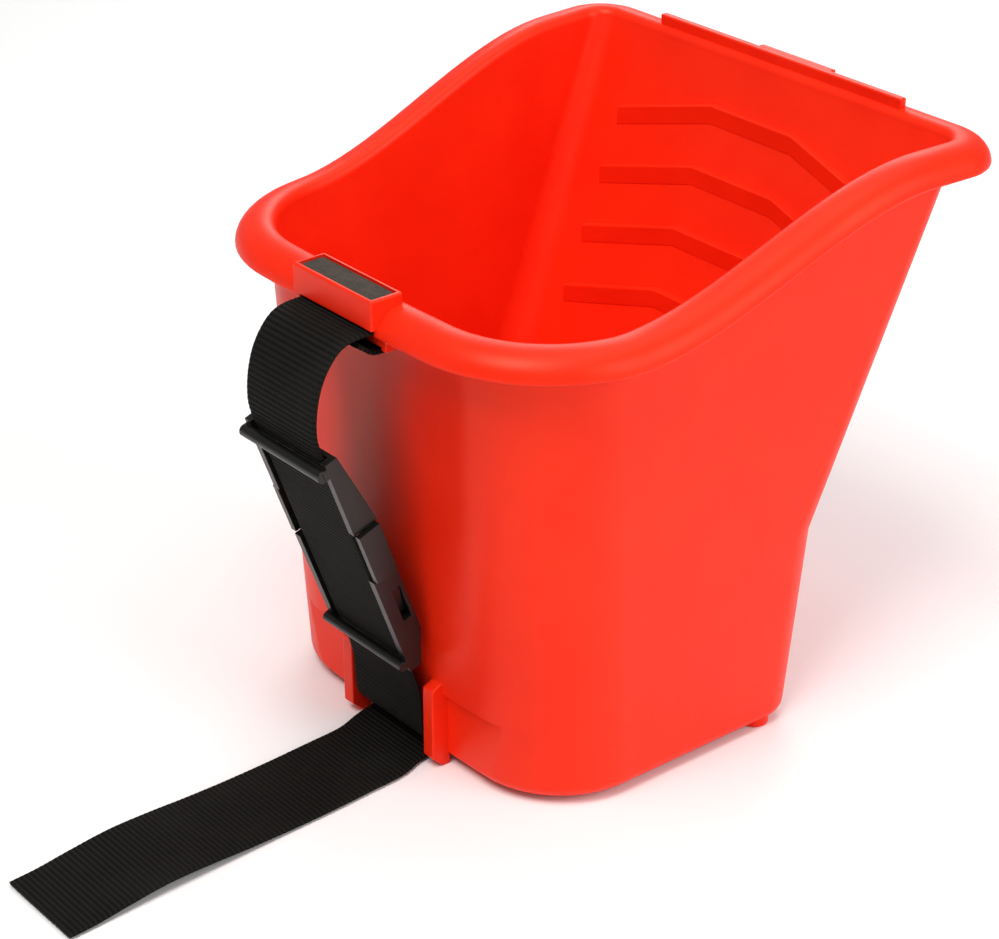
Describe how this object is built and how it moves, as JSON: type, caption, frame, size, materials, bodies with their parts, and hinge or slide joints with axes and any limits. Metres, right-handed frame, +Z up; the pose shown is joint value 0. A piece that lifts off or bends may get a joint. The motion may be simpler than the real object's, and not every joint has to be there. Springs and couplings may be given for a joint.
{
  "type": "hand-held pail",
  "caption": "Hand-held pail with a rolled rim, wiping ribs, a webbing hand strap with a side-release buckle and a magnet on the rim.",
  "frame": {"origin": "on the surface the pail stands on, under the middle of the pail's box without its strap", "axes": "+Z up, +Y towards the sloping ribbed wall, -Y towards the hand strap, X across the pail, which is symmetric about X = 0"},
  "size_m": [0.175, 0.2866, 0.1816],
  "materials": {
    "red_polypropylene": "satin moulded polypropylene",
    "magnet_grey": "mottled ceramic magnet",
    "black_webbing": "ribbed woven webbing",
    "black_acetal": "satin moulded plastic"
  },
  "bodies": {
    "pail": {"pail_body": "red_polypropylene", "magnet": "magnet_grey", "strap": "black_webbing", "buckle_male": "black_acetal", "buckle_female": "black_acetal"},
    "tail": {"strap_tail": "black_webbing"},
    "left_latch": {"latch_left": "black_acetal"},
    "right_latch": {"latch_right": "black_acetal"}
  },
  "joints": [
    {"name": "strap_tail_lift", "type": "hinge", "parent": "pail", "child": "tail", "pos_m": [0, -0.074, 0.0011], "axis": [-1, 0, 0], "range_deg": [-80, 60]},
    {"name": "latch_left_squeeze", "type": "hinge", "parent": "pail", "child": "left_latch", "pos_m": [-0.016, -0.09164, 0.08817], "axis": [0, -0.9398, -0.3417], "range_deg": [0, 6], "stiffness_Nm_per_rad": 0.35},
    {"name": "latch_right_squeeze", "type": "hinge", "parent": "pail", "child": "right_latch", "pos_m": [0.016, -0.09164, 0.08817], "axis": [0, 0.9398, 0.3417], "range_deg": [0, 6], "stiffness_Nm_per_rad": 0.35}
  ]
}
